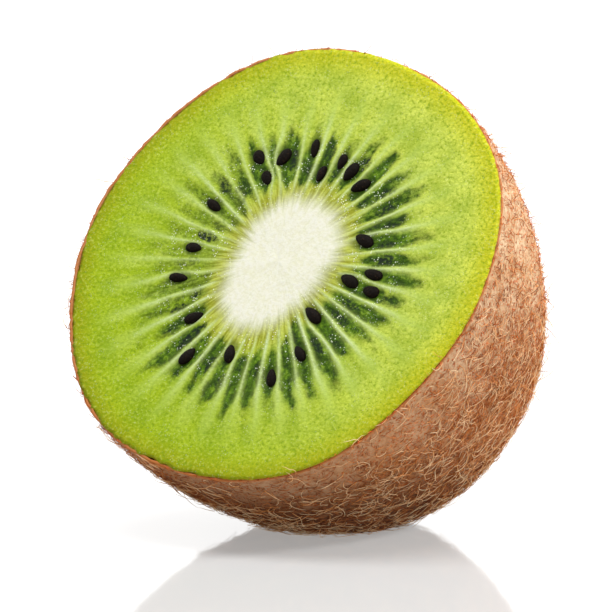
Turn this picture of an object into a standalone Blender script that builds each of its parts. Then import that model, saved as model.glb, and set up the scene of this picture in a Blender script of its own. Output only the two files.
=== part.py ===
"""Kiwi fruit half, cut across and tipped over on its side, resting on the skin.

The fruit is modelled upright, with its cut face up at z = 0 and its stalk end below.
Then it is tipped towards -Y, sliced flat where it touches the ground, and moved so
that the middle of that flat spot is the origin. Metres, +Z up.
"""
import math

import bmesh
import bpy
from mathutils import Matrix, Vector

OBJECT_NAME = "kiwi_half"

# Driving dimensions, in metres and degrees
SECTION_RADIUS = 0.0245         # mean radius of the fruit where it is cut
SECTION_WIDTH_SHARE = 0.972     # width of the section over its height
SECTION_TURN_DEG = -3.0         # turn of that oval about the fruit's axis
HALF_LENGTH = 0.0362            # cut face to stalk end
PROFILE_POWER = 2.25            # 2 makes an elliptical side, more makes a fuller end
SOFT_RIBS = (                   # low swellings round the section:
    (3, 0.0028, 12.0),          # how many, height as a share of the radius,
    (4, 0.0069, 25.0),          # bearing of the first one in degrees
    (5, 0.0031, 18.0),
    (6, 0.0049, -12.0),
)
STALK_DIMPLE_RADIUS = 0.0065
STALK_DIMPLE_DEPTH = 0.0012
RIM_ROUNDING = 0.0003           # softened edge between the cut face and the skin
TIP_DEG = 57.0                  # how far the fruit is tipped from cut face up
REST_FLAT_DEPTH = 0.00045       # how much of the round side is pressed flat

# How finely the surface is divided
SEGMENTS_ROUND = 80
RINGS_POLE_TO_POLE = 56
MERGE_DISTANCE = 0.00008

SKIN_COLOR = (0.36, 0.21, 0.11, 1.0)
SKIN_ROUGHNESS = 0.85
FLESH_COLOR = (0.38, 0.55, 0.03, 1.0)
FLESH_ROUGHNESS = 0.35


def clear_scene():
    """Remove whatever objects the scene starts with."""
    for scene_object in list(bpy.data.objects):
        bpy.data.objects.remove(scene_object, do_unlink=True)


def make_material(name, color, roughness):
    """One Principled material with a plain colour."""
    material = bpy.data.materials.new(name)
    material.use_nodes = True
    shader = material.node_tree.nodes["Principled BSDF"]
    shader.inputs["Base Color"].default_value = color
    shader.inputs["Roughness"].default_value = roughness
    shader.inputs["Metallic"].default_value = 0.0
    return material


def section_radius(bearing, rib_share):
    """Distance from the fruit's axis to its skin at the cut, at one bearing.

    The section is a slight oval with low swellings. rib_share fades the swellings.
    """
    half_width = SECTION_RADIUS * math.sqrt(SECTION_WIDTH_SHARE)
    half_height = SECTION_RADIUS / math.sqrt(SECTION_WIDTH_SHARE)
    turned = bearing - math.radians(SECTION_TURN_DEG)
    oval = 1.0 / math.hypot(math.cos(turned) / half_width, math.sin(turned) / half_height)
    swelling = sum(
        height * math.cos(count * (bearing - math.radians(first)))
        for count, height, first in SOFT_RIBS
    )
    return oval * (1.0 + rib_share * swelling)


def stalk_dimple(radius):
    """How deep the end is drawn in, at one distance from the axis."""
    if radius >= STALK_DIMPLE_RADIUS:
        return 0.0
    return STALK_DIMPLE_DEPTH * 0.5 * (1.0 + math.cos(math.pi * radius / STALK_DIMPLE_RADIUS))


def shape_fruit(bm):
    """Turn a unit dome that hangs below z = 0 into the fruit's half."""
    for vert in bm.verts:
        along = min(max(-vert.co.z, 0.0), 1.0)
        bearing = math.atan2(vert.co.y, vert.co.x)
        fullness = max(1.0 - along * along, 0.0) ** (1.0 / PROFILE_POWER)
        rib_share = math.sqrt(max(math.cos(along * math.pi / 2.0), 0.0))
        radius = section_radius(bearing, rib_share) * fullness
        depth = HALF_LENGTH * along - stalk_dimple(radius)
        vert.co = Vector((radius * math.cos(bearing), radius * math.sin(bearing), -depth))


def press_flat(bm, height):
    """Slice off what lies below one height and close the cut with one level face."""
    result = bmesh.ops.bisect_plane(
        bm,
        geom=bm.verts[:] + bm.edges[:] + bm.faces[:],
        dist=MERGE_DISTANCE / 2.0,
        plane_co=Vector((0.0, 0.0, height)),
        plane_no=Vector((0.0, 0.0, 1.0)),
        clear_inner=True,
    )
    loop_edges = [item for item in result["geom_cut"] if isinstance(item, bmesh.types.BMEdge)]
    bmesh.ops.edgeloop_fill(bm, edges=loop_edges)
    bmesh.ops.remove_doubles(bm, verts=bm.verts, dist=MERGE_DISTANCE)
    for vert in bm.verts:
        if vert.co.z < height + MERGE_DISTANCE:
            vert.co.z = height
    bmesh.ops.recalc_face_normals(bm, faces=bm.faces)


def soften_rim(bm):
    """Round the edge between the level cut face and the skin a little."""
    rim_edges = [
        edge for edge in bm.edges
        if len(edge.link_faces) == 2 and edge.calc_face_angle() > math.radians(45.0)
    ]
    bmesh.ops.bevel(
        bm,
        geom=rim_edges,
        offset=RIM_ROUNDING,
        segments=2,
        profile=0.5,
        affect="EDGES",
        clamp_overlap=True,
    )


def rest_spot_centre(bm):
    """Middle of the flat spot that the fruit rests on."""
    flat = min(bm.faces, key=lambda face: face.calc_center_median().z)
    return flat.calc_center_bounds()


def build_fruit():
    """The whole half as one closed mesh, tipped over and standing on its flat spot."""
    bm = bmesh.new()
    bmesh.ops.create_uvsphere(
        bm, u_segments=SEGMENTS_ROUND, v_segments=RINGS_POLE_TO_POLE, radius=1.0
    )
    upper = [vert for vert in bm.verts if vert.co.z > 1e-4]
    bmesh.ops.delete(bm, geom=upper, context="VERTS")
    shape_fruit(bm)
    open_edges = [edge for edge in bm.edges if edge.is_boundary]
    bmesh.ops.edgeloop_fill(bm, edges=open_edges)
    bmesh.ops.recalc_face_normals(bm, faces=bm.faces)
    soften_rim(bm)

    bmesh.ops.rotate(
        bm,
        verts=bm.verts,
        cent=Vector((0.0, 0.0, 0.0)),
        matrix=Matrix.Rotation(math.radians(TIP_DEG), 3, "X"),
    )
    lowest = min(vert.co.z for vert in bm.verts)
    press_flat(bm, lowest + REST_FLAT_DEPTH)
    bmesh.ops.translate(bm, verts=bm.verts, vec=-rest_spot_centre(bm))

    mesh = bpy.data.meshes.new(OBJECT_NAME)
    bm.to_mesh(mesh)
    bm.free()
    return mesh


def colour_cut_face(mesh):
    """Give the second material to the large face that looks along the tipped axis."""
    largest = max(mesh.polygons, key=lambda polygon: polygon.area)
    largest.material_index = 1


def main():
    clear_scene()
    collection = bpy.data.collections.new(OBJECT_NAME)
    bpy.context.scene.collection.children.link(collection)

    mesh = build_fruit()
    mesh.materials.append(make_material("kiwi_skin", SKIN_COLOR, SKIN_ROUGHNESS))
    mesh.materials.append(make_material("kiwi_flesh", FLESH_COLOR, FLESH_ROUGHNESS))
    colour_cut_face(mesh)
    mesh.shade_smooth()
    mesh.set_sharp_from_angle(angle=math.radians(35.0))

    fruit = bpy.data.objects.new(OBJECT_NAME, mesh)
    collection.objects.link(fruit)


main()
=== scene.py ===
"""Kiwi fruit half: flesh, seeds, skin, stalk scar and fuzz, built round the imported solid.

The fruit is shaped upright, with its cut face up at z = 0, the stalk end below and the
bearing round its axis counted from +X towards +Y. Then it is laid into the frame.
"""
import math

import bpy
import numpy as np
from bpy.props import FloatProperty, FloatVectorProperty, IntProperty, PointerProperty
from mathutils import Matrix, Vector


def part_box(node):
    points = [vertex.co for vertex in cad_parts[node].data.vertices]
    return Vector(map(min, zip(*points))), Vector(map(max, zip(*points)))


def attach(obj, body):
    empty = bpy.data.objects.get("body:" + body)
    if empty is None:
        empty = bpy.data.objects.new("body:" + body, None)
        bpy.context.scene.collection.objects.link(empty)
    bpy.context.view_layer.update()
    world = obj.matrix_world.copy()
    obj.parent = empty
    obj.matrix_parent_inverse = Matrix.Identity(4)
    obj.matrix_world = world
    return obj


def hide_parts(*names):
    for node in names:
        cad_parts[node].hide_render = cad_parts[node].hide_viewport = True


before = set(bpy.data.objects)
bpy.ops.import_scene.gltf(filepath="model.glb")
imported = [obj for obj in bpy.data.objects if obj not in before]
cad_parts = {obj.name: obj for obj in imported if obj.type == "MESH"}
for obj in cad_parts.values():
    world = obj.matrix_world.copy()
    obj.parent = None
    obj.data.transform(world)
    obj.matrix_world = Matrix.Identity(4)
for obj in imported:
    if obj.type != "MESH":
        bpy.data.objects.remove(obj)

bl_info = {
    "name": "Kiwi Fruit Half",
    "version": (1, 0, 0),
    "blender": (4, 5, 0),
    "location": "3D View > Sidebar > Kiwi",
    "description": "Adds half a green kiwi fruit with its flesh, seeds, skin and fuzz",
    "category": "Add Mesh",
}

CAD_NODE = "kiwi_half"
CAD_LOW, CAD_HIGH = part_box(CAD_NODE)
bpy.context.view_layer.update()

MM = 0.001
# Rows of random values before the noise on the fruit repeats
NOISE_ROWS = 256

# Low swellings round the section: how many, height as a share of the radius, bearing of the first
SOFT_RIBS = ((3, 0.0028, 12.0), (4, 0.0069, 25.0), (5, 0.0031, 18.0), (6, 0.0049, -12.0))

# Waves of the rim at the cut: bearing in degrees, how far out in mm, half width in degrees
RIM_WAVES = (
    (22, 0.34, 18), (300, 0.20, 13), (347, 0.18, 11), (150, -0.14, 26), (205, -0.16, 26), (75, -0.10, 20),
)

# Relief of the skin in mm
SKIN_BUMP_HEIGHT = 0.09
SKIN_DENT_DEPTH = 0.22
RIM_TATTER_HEIGHT = 0.16

# Where chambers reach further out or start later: bearing in degrees, mm more, half width in degrees
CHAMBER_REACH = (
    (286, 3.6, 28), (338, 1.6, 14), (4, 1.8, 12), (38, 2.0, 16), (68, -0.6, 14), (112, 1.2, 18),
    (232, 2.2, 20), (175, 0.4, 30),
)
CHAMBER_START = ((272, 1.2, 20), (168, -1.2, 22), (66, -0.8, 20), (302, -0.6, 14))
# Degrees from a wall to the middle of the chamber past it
CHAMBER_MIDDLE = 4.7
# Chambers in mm: usual gap to the core, usual end, and the lengths over which they fade in and out
CHAMBER_GAP = 2.0
CHAMBER_END = 15.3
CHAMBER_FADE_IN = 2.2
CHAMBER_FADE_OUT = 5.6

# Where the walls' bent courses are kept: how many distances from the axis, and the step in mm
WALL_STEPS = 131
WALL_STEP = 0.2

# Upright direction of the side where the flesh is painted lighter and yellower, partly a riper tint and
# partly painted light, longer for a quicker change of colour
LIT_RIPER_DIRECTION = (38.0, 22.0, 0.0)

# Seeds that lie open at the cut: bearing in degrees, distance from the axis in mm, lean off the
# radial direction in degrees, size as a share of the usual seed, width as a share of the usual
OPEN_SEEDS = (
    (118, 13.3, 10, 0.95, 1.15), (106, 12.4, -40, 1.15, 1.10), (116, 10.5, 5, 0.95, 1.00),
    (90, 13.1, 3, 1.10, 0.80), (81, 10.4, 0, 1.05, 0.80), (73, 12.3, 5, 0.95, 0.90),
    (65, 11.8, 0, 1.20, 1.05), (54, 11.3, -25, 1.20, 1.00), (18, 9.5, -42, 1.30, 1.00),
    (356, 11.3, -10, 1.20, 0.95), (349, 8.9, -14, 1.25, 1.00), (347, 11.9, 0, 1.05, 1.10),
    (315, 8.2, 8, 1.30, 0.95), (299, 11.6, 12, 1.05, 0.90), (284, 13.5, 0, 1.05, 0.95),
    (257, 11.0, 22, 1.15, 1.00), (237, 13.5, 4, 1.20, 0.95), (221, 10.6, -14, 1.15, 0.95),
    (193, 11.6, -12, 1.15, 0.80), (175, 10.7, 0, 1.05, 0.95), (149, 11.4, 0, 1.10, 0.85),
)
# Seeds that show through the flesh: bearing in degrees, distance in mm, length in mm, strength
SUNK_SEEDS = (
    (100, 11.8, 2.2, 0.80), (88, 10.4, 1.8, 0.55), (81, 12.9, 1.8, 0.50), (61, 13.3, 1.8, 0.75),
    (72, 11.0, 1.6, 0.40), (42, 11.0, 2.4, 0.45), (40, 13.2, 1.8, 0.70), (32, 12.4, 2.6, 0.60),
    (23, 12.9, 2.6, 0.55), (23, 10.6, 1.8, 0.45), (12, 11.9, 1.8, 0.60), (4, 12.1, 2.0, 0.70),
    (166, 9.7, 2.4, 0.80), (138, 12.4, 2.2, 0.60), (134, 10.0, 2.2, 0.50), (126, 9.2, 1.6, 0.35),
    (157, 9.0, 1.6, 0.35), (184, 10.8, 2.6, 0.40), (205, 9.6, 1.8, 0.70), (212, 11.8, 2.2, 0.75),
    (221, 13.4, 2.2, 0.40), (231, 11.8, 3.4, 0.75), (251, 12.6, 2.6, 0.65), (260, 14.1, 2.2, 0.55),
    (268, 12.2, 2.6, 0.45), (277, 12.5, 2.2, 0.70), (297, 9.9, 2.4, 0.50), (308, 11.8, 2.6, 0.60),
    (326, 10.9, 2.6, 0.60), (335, 10.8, 2.4, 0.60), (318, 12.6, 2.6, 0.40), (345, 14.6, 2.4, 0.40),
)

# The kinds of hair: name, settings for the root and the tip, share of the painted shade near the floor,
# shortest and longest in mm, radius in mm, joints, lift, curl, share that keeps to the bushy parts, random
# seed
FUZZ_KINDS = (
    ("stubble", "stubble_color", "stubble_tip_color", 0.85, 0.30, 0.70, 0.044, 1, 0.20, 0.3, 0.78, 61),
    ("short", "root_color", "tip_color", 0.80, 0.7, 1.5, 0.030, 2, 0.40, 0.8, 0.80, 71),
    ("dark", "root_color", "dark_color", 0.85, 1.3, 2.6, 0.034, 4, 0.22, 2.2, 0.90, 81),
    ("amber", "root_color", "amber_color", 0.45, 1.5, 3.4, 0.034, 5, 0.26, 2.2, 0.93, 91),
    ("pale", "tip_color", "pale_color", 0.25, 1.8, 4.2, 0.040, 6, 0.30, 2.4, 0.95, 101),
)


def color(red, green, blue):
    """A linear colour from the usual 0 to 255 screen values."""
    def linear(value):
        share = value / 255.0
        return share / 12.92 if share <= 0.04045 else ((share + 0.055) / 1.055) ** 2.4
    return (linear(red), linear(green), linear(blue))


def size_property(name, description, default):
    return FloatProperty(name=name, description=description, default=default,
                         min=0.0, precision=5, unit="LENGTH")


def plain_property(name, description, default):
    return FloatProperty(name=name, description=description, default=default, precision=3)


def count_property(name, description, default):
    return IntProperty(name=name, description=description, default=default, min=1)


def angle_property(name, description, degrees):
    return FloatProperty(name=name, description=description, default=math.radians(degrees),
                         subtype="ANGLE", unit="ROTATION")


def power_property(name, description, default):
    return FloatProperty(name=name, description=description, default=default,
                         subtype="POWER", unit="POWER")


def color_property(name, description, default):
    return FloatVectorProperty(name=name, description=description, default=default,
                               subtype="COLOR", size=3, min=0.0, max=1.0)


# ---------------------------------------------------------------- settings


class KiwiFormSettings(bpy.types.PropertyGroup):
    section_radius: size_property("Section radius", "Mean radius where the fruit is cut", 0.0245)
    section_width_share: plain_property("Section width", "Width of the section over its height", 0.972)
    section_turn: angle_property("Section turn", "Turn of the oval section", -3.0)
    half_length: size_property("Half length", "Cut face to stalk end", 0.0362)
    profile_power: plain_property("Profile power", "2 is an elliptical side, more is fuller", 2.25)
    dimple_radius: size_property("Dimple radius", "Radius of the hollow at the stalk", 0.0065)
    dimple_depth: size_property("Dimple depth", "Depth of the hollow at the stalk", 0.0012)
    tip: angle_property("Tip", "How far the half is tipped from cut face up", 57.0)


class KiwiFleshSettings(bpy.types.PropertyGroup):
    inset: size_property("Inset", "How far the flesh stays inside the skin at the cut", 0.00007)
    lip: size_property("Lip", "Depth of the flesh that fills the skin right at the cut", 0.0004)
    ray_count: count_property("Rays", "Pale walls between seed chambers", 38)
    core_radius: size_property("Core radius", "Mean radius of the pale core", 0.0066)
    core_oval: size_property("Core oval", "How much longer than round the core is", 0.00105)
    outer_color: color_property("Outer flesh", "Flesh outside the chambers", color(161, 184, 30))
    # Partly a riper tint, partly painted light: paler, yellower flesh towards one side
    lit_riper_color: color_property("Lit riper side", "Riper flesh towards one side", color(208, 218, 92))
    pale_color: color_property("Pale streaks", "Streaks where the rays fade out", color(198, 213, 104))
    veil_color: color_property("Ray sides", "Paler flesh beside the rays", color(180, 202, 92))
    deep_color: color_property("Deep flecks", "Darker flecks of the outer flesh", color(120, 150, 22))
    rim_color: color_property("Rim", "Flesh just under the skin", color(168, 176, 12))
    # Partly a riper tint, partly painted light: yellower rim towards the same side
    lit_riper_rim_color: color_property("Lit riper rim", "Riper flesh under the skin", color(216, 210, 8))
    chamber_color: color_property("Chambers", "Jelly of the seed chambers", color(92, 130, 24))
    # Darkest chamber jelly, also used as painted shade round the open seeds
    jelly_dark_and_seed_shade_color: color_property("Chamber depths", "Darkest chamber jelly", color(38, 60, 8))
    rim_shade_color: color_property("Rim shade", "Olive line along the skin", color(118, 106, 8))
    skin_line_color: color_property("Skin line", "Cut skin along the rim", color(178, 104, 36))
    halo_color: color_property("Halo", "Olive fibres round the core", color(144, 148, 38))
    halo_pale_color: color_property("Halo fibres", "Pale fibres round the core", color(190, 198, 88))
    ray_color: color_property("Rays", "Pale chamber walls", color(200, 216, 164))
    core_color: color_property("Core", "Pale centre", color(229, 228, 212))
    core_shade_color: color_property("Core shade", "Slightly darker grain of the core",
                                     color(218, 216, 184))
    # Painted highlight: pale specks that stand in for glints on wet cells
    glint_speck_color: color_property("Glint specks", "Glints of wet cells", color(232, 240, 214))
    sunk_color: color_property("Sunk seeds", "Seeds seen through the flesh", color(22, 34, 22))


class KiwiSeedSettings(bpy.types.PropertyGroup):
    length: size_property("Length", "Usual length of a seed", 0.0019)
    width: size_property("Width", "Usual width of a seed", 0.00116)
    thickness: size_property("Thickness", "Usual thickness of a seed", 0.0008)
    sink: size_property("Sink", "How far a seed's middle lies under the cut", 0.00016)
    seed_color: color_property("Seed", "Seed coat", color(14, 9, 6))
    # Partly brown specks of the coat, partly painted highlights
    speck_glint_color: color_property("Seed specks and glints", "Paler marks on the seed coat", color(58, 42, 28))


class KiwiSkinSettings(bpy.types.PropertyGroup):
    thickness: size_property("Thickness", "Thickness of the skin", 0.0003)
    skin_color: color_property("Skin", "Dry brown skin", color(200, 160, 118))
    light_color: color_property("Bloom", "Paler patches of the skin", color(220, 192, 156))
    dark_color: color_property("Shade", "Darker grain of the skin", color(150, 98, 58))
    # Painted shade: browner skin over the lower half, by height above the floor
    lower_shade_color: color_property("Lower shade", "Browner skin of the lower half", color(156, 98, 54))
    # Painted shade: much darker skin close to the floor
    floor_shade_color: color_property("Underside", "Darker skin towards the floor", color(58, 22, 6))
    spot_color: color_property("Spots", "Hair roots", color(176, 74, 28))
    edge_color: color_property("Cut edge", "Cut edge of the skin", color(182, 108, 54))


class KiwiFuzzSettings(bpy.types.PropertyGroup):
    stubble_count: count_property("Stubble", "Short flat red-brown hairs", 40000)
    short_count: count_property("Short hairs", "Short bent hairs", 12000)
    dark_count: count_property("Dark hairs", "Hairs of the under-layer", 3500)
    amber_count: count_property("Amber hairs", "Long amber hairs", 3800)
    pale_count: count_property("Pale hairs", "Long pale hairs", 3300)
    stubble_color: color_property("Stubble", "Short flat hairs", color(226, 98, 42))
    stubble_tip_color: color_property("Stubble tips", "Short flat hairs at the end", color(234, 136, 74))
    # Painted shade: darker hairs close to the floor
    floor_shade_color: color_property("Underside", "Hairs close to the floor", color(68, 26, 6))
    root_color: color_property("Roots", "Hair at the skin", color(158, 74, 22))
    tip_color: color_property("Tips", "Hair at its end", color(226, 150, 80))
    pale_color: color_property("Pale", "Long pale hairs", color(255, 228, 184))
    amber_color: color_property("Amber", "Long amber hairs", color(234, 152, 86))
    dark_color: color_property("Dark", "Hairs of the under-layer", color(126, 64, 26))


class KiwiStageSettings(bpy.types.PropertyGroup):
    floor_size: size_property("Floor size", "Side of the floor", 12.0)
    floor_color: color_property("Floor", "Plain pale floor", (0.36, 0.36, 0.357))
    dust_color: color_property("Dust", "Faint cloudiness of the floor", (0.34, 0.34, 0.34))
    floor_glow: plain_property("Floor glow", "Light that comes up through the floor", 0.42)
    room_light: plain_property("Room light", "Even white light on things", 0.50)
    room_white: plain_property("Room white", "Brightness of the room itself", 2.2)
    top_power: power_property("Top", "Broad soft light from above", 9.0)
    side_power: power_property("Side", "Soft light from the right", 9.0)
    low_power: power_property("Low", "Weak soft light from low down on the right", 0.7)
    camera_azimuth: angle_property("Camera azimuth", "Round the fruit", 30.53)
    camera_elevation: angle_property("Camera elevation", "Above the floor", 6.74)
    camera_aim: FloatVectorProperty(name="Camera aim", description="The point it looks at",
                                    default=(0.00238, -0.01073, 0.02408), subtype="TRANSLATION",
                                    unit="LENGTH")
    camera_distance: size_property("Camera distance", "From the point it looks at", 0.6837)
    camera_view_width: size_property("View width", "Width seen at that distance", 0.06243)


# ---------------------------------------------------------------- the fruit's form


def turn_cosine(bearing, first_deg, count=1):
    return np.cos(count * (bearing - math.radians(first_deg)))


def smooth_step(low, high, value):
    share = np.clip((value - low) / (high - low), 0.0, 1.0)
    return share * share * (3.0 - 2.0 * share)


def polar(points):
    """Bearing and distance from the axis of upright points."""
    return np.arctan2(points[:, 1], points[:, 0]), np.hypot(points[:, 0], points[:, 1])


def round_points(bearing, distance, height):
    return np.stack([distance * np.cos(bearing), distance * np.sin(bearing), height], axis=-1)


def unit(vectors):
    return vectors / (np.linalg.norm(vectors, axis=-1, keepdims=True) + 1e-15)


def angle_gap(first, second):
    """Signed difference of two bearings in degrees, from -180 to 180."""
    return (first - second + 180.0) % 360.0 - 180.0


def section_radius(form, bearing, rib_share=1.0):
    """Distance from the axis to the skin at the cut."""
    half_width = form.section_radius * math.sqrt(form.section_width_share)
    half_height = form.section_radius / math.sqrt(form.section_width_share)
    turned = bearing - form.section_turn
    oval = 1.0 / np.hypot(np.cos(turned) / half_width, np.sin(turned) / half_height)
    swelling = sum(height * turn_cosine(bearing, first, count) for count, height, first in SOFT_RIBS)
    return oval * (1.0 + rib_share * swelling)


def bulges(degrees, table):
    """Sum of soft bulges round the axis, each with its middle, its height and its half width."""
    return sum(height * np.exp(-(angle_gap(degrees, middle) / width) ** 2) for middle, height, width in table)


def rim_wave(bearing):
    """How far the cut rim stands out of the even section, in metres."""
    return MM * bulges(np.degrees(bearing), RIM_WAVES)


def rim_tatter(bearing):
    """Ragged small steps of the cut rim, about 1 on average and never below 0."""
    at_cut = 0.0 * bearing
    return 1.2 * ring_noise(bearing, at_cut, 250, MM, 44) + 0.8 * ring_noise(bearing, at_cut, 90, MM, 45)


def proud_skin(bearing):
    """Share from 0 to 1 of the rim where the skin reaches right up to the cut."""
    return smooth_step(-0.35, 0.35, -np.cos(bearing))


def skin_points(form, bearing, along):
    """Upright points of the skin, along from 0 at the cut to 1 at the stalk."""
    fullness = np.clip(1.0 - along * along, 0.0, 1.0) ** (1.0 / form.profile_power)
    rib_share = np.sqrt(np.clip(np.cos(along * math.pi / 2.0), 0.0, 1.0))
    radius = section_radius(form, bearing, rib_share) * fullness
    dimple = np.where(radius < form.dimple_radius,
                      0.5 * form.dimple_depth * (1.0 + np.cos(math.pi * radius / form.dimple_radius)), 0.0)
    depth = form.half_length * along - dimple
    return round_points(bearing, radius, -depth)


def surface_points(form, bearing, along):
    """Upright points of the finished skin: the smooth form with its low bumps and its rim waves."""
    points = skin_points(form, bearing, along)
    depth = form.half_length * along
    fade = np.clip(1.0 - along, 0.0, 1.0) ** 0.5 * smooth_step(0.0, 0.10, along)
    bumps = ring_noise(bearing, depth, 150, 1.0 * MM, 41) - 0.5
    dents = ring_noise(bearing, depth, 34, 4.5 * MM, 42) - 0.5
    swelling = (SKIN_BUMP_HEIGHT * bumps + SKIN_DENT_DEPTH * dents) * fade * MM
    swelling = swelling + rim_wave(bearing) * (1.0 - smooth_step(0.0, 0.16, along))
    ragged = RIM_TATTER_HEIGHT * MM * (rim_tatter(bearing) - 1.0)
    swelling = swelling + ragged * (1.0 - smooth_step(0.0, 0.02, along))
    return points + unit(points) * swelling[..., None]


def lay_matrix(form):
    """Turns upright points into the frame, so that the form fills the solid's box."""
    tip = Matrix.Rotation(form.tip, 3, "X")
    bearing, along = np.meshgrid(np.linspace(0.0, 2.0 * math.pi, 361), np.linspace(0.0, 1.0, 181))
    tipped = skin_points(form, bearing, along).reshape(-1, 3) @ np.array(tip).T
    low, high = tipped.min(axis=0), tipped.max(axis=0)
    offset = Vector((
        (CAD_LOW.x + CAD_HIGH.x) / 2.0 - (low[0] + high[0]) / 2.0,
        (CAD_LOW.y + CAD_HIGH.y) / 2.0 - (low[1] + high[1]) / 2.0,
        CAD_HIGH.z - high[2],
    ))
    return Matrix.Translation(offset) @ tip.to_4x4()


def ring_noise(bearing, distance, cells_round, cell_length, seed):
    """Smooth noise from 0 to 1 over bearing and distance, closed round the axis."""
    lattice = np.random.default_rng(seed).random((NOISE_ROWS, cells_round))
    across = (bearing / (2.0 * math.pi) % 1.0) * cells_round
    down = np.abs(distance) / cell_length
    left = np.floor(across).astype(int)
    top = np.floor(down).astype(int)
    shift, drop = across - left, down - top
    shift, drop = shift * shift * (3.0 - 2.0 * shift), drop * drop * (3.0 - 2.0 * drop)
    columns = (left % cells_round, (left + 1) % cells_round)
    rows = (top % NOISE_ROWS, (top + 1) % NOISE_ROWS)
    upper = lattice[rows[0], columns[0]] * (1.0 - shift) + lattice[rows[0], columns[1]] * shift
    lower = lattice[rows[1], columns[0]] * (1.0 - shift) + lattice[rows[1], columns[1]] * shift
    return upper * (1.0 - drop) + lower * drop


# ---------------------------------------------------------------- modelling helpers


def start_clean():
    """Object mode with nothing selected."""
    if bpy.context.object and bpy.context.object.mode != "OBJECT":
        bpy.ops.object.mode_set(mode="OBJECT")
    bpy.ops.object.select_all(action="DESELECT")


def select_only(pieces):
    start_clean()
    for piece in pieces:
        piece.select_set(True)
    bpy.context.view_layer.objects.active = pieces[0]


def read_points(piece):
    points = np.empty(len(piece.data.vertices) * 3)
    piece.data.vertices.foreach_get("co", points)
    return points.reshape(-1, 3)


def write_points(piece, points):
    piece.data.vertices.foreach_set("co", np.ascontiguousarray(points).ravel())
    piece.data.update()


def write_attribute(piece, name, values):
    attribute = piece.data.attributes.new(name, "FLOAT", "POINT")
    attribute.data.foreach_set("value", np.ascontiguousarray(values, dtype=np.float32))


def add_rings(name, segments, radii, heights, close_end):
    """A round body drawn ring by ring, from the fan at its first ring to its last."""
    start_clean()
    bpy.ops.mesh.primitive_circle_add(vertices=segments, radius=radii[0], fill_type="TRIFAN",
                                      location=(0.0, 0.0, 0.0))
    piece = bpy.context.object
    piece.name = name
    piece.data.name = name
    bpy.ops.object.mode_set(mode="EDIT")
    bpy.ops.mesh.select_all(action="SELECT")
    bpy.ops.transform.translate(value=(0.0, 0.0, heights[0]))
    bpy.ops.mesh.select_mode(type="EDGE")
    bpy.ops.mesh.select_all(action="DESELECT")
    bpy.ops.mesh.select_non_manifold()
    for step in range(1, len(radii)):
        rise = heights[step] - heights[step - 1]
        ratio = radii[step] / radii[step - 1]
        bpy.ops.mesh.extrude_region_move(TRANSFORM_OT_translate={"value": (0.0, 0.0, rise)})
        bpy.ops.transform.resize(value=(ratio, ratio, 1.0), center_override=(0.0, 0.0, 0.0))
    if close_end:
        bpy.ops.mesh.extrude_region_move(TRANSFORM_OT_translate={"value": (0.0, 0.0, 0.0)})
        bpy.ops.mesh.merge(type="CENTER")
    bpy.ops.object.mode_set(mode="OBJECT")
    return piece


def outward_normals(piece):
    select_only([piece])
    bpy.ops.object.mode_set(mode="EDIT")
    bpy.ops.mesh.select_all(action="SELECT")
    bpy.ops.mesh.normals_make_consistent(inside=False)
    bpy.ops.object.mode_set(mode="OBJECT")


def finish_piece(piece, material):
    """Shading, finish and body of a piece whose mesh is already in the frame."""
    arrange_nodes(material.node_tree)
    piece.data.materials.clear()
    piece.data.materials.append(material)
    piece.data.shade_smooth()
    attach(piece, "root")
    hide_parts(CAD_NODE)


def mesh_piece(name, points, quads, triangles):
    """One piece from arrays of points, four-sided faces and three-sided faces."""
    corners = np.concatenate([quads.ravel(), triangles.ravel()])
    sizes = np.concatenate([np.full(len(quads), 4), np.full(len(triangles), 3)])
    starts = np.concatenate([[0], np.cumsum(sizes)[:-1]])
    mesh = bpy.data.meshes.new(name)
    mesh.vertices.add(len(points))
    mesh.vertices.foreach_set("co", np.ascontiguousarray(points, dtype=np.float32).ravel())
    mesh.loops.add(len(corners))
    mesh.loops.foreach_set("vertex_index", corners.astype(np.int32))
    mesh.polygons.add(len(sizes))
    mesh.polygons.foreach_set("loop_start", starts.astype(np.int32))
    mesh.update(calc_edges=True)
    mesh.validate()
    piece = bpy.data.objects.new(name, mesh)
    bpy.context.scene.collection.objects.link(piece)
    return piece


# ---------------------------------------------------------------- material helpers


NODE_COLUMN_WIDTH = 220
NODE_ROW_HEIGHT = 180


def new_material(name):
    material = bpy.data.materials.new(name)
    material.use_nodes = True
    return material, material.node_tree, material.node_tree.nodes["Principled BSDF"]


def arrange_nodes(tree):
    """Stand the nodes in columns, each one to the left of all that it feeds."""
    column = {node.name: 0 for node in tree.nodes}
    moved = True
    while moved:
        moved = False
        for link in tree.links:
            needed = column[link.to_node.name] + 1
            if column[link.from_node.name] < needed:
                column[link.from_node.name] = needed
                moved = True
    rows = {}
    for node in tree.nodes:
        place = column[node.name]
        row = rows.get(place, 0)
        rows[place] = row + 1
        node.location = (-NODE_COLUMN_WIDTH * place, -NODE_ROW_HEIGHT * row)


def feed(tree, socket, source):
    """Join a socket to another one, or set it to a plain value."""
    if isinstance(source, bpy.types.NodeSocket):
        tree.links.new(source, socket)
    elif socket.type == "RGBA":
        socket.default_value = (*source[:3], 1.0)
    else:
        socket.default_value = source


def feed_inputs(tree, node, sources):
    """Feed several inputs, each given by its name or number."""
    for key, source in dict(sources).items():
        feed(tree, node.inputs[key], source)


def add_node(tree, kind, sources=(), **values):
    node = tree.nodes.new(kind)
    for key, value in values.items():
        setattr(node, key, value)
    feed_inputs(tree, node, sources)
    return node


def calc(tree, operation, first, second, clamp=False):
    sources = enumerate((first, second))
    return add_node(tree, "ShaderNodeMath", sources, operation=operation, use_clamp=clamp).outputs[0]


def plus(tree, first, second):
    return calc(tree, "ADD", first, second)


def times(tree, first, second, clamp=False):
    return calc(tree, "MULTIPLY", first, second, clamp)


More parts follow.
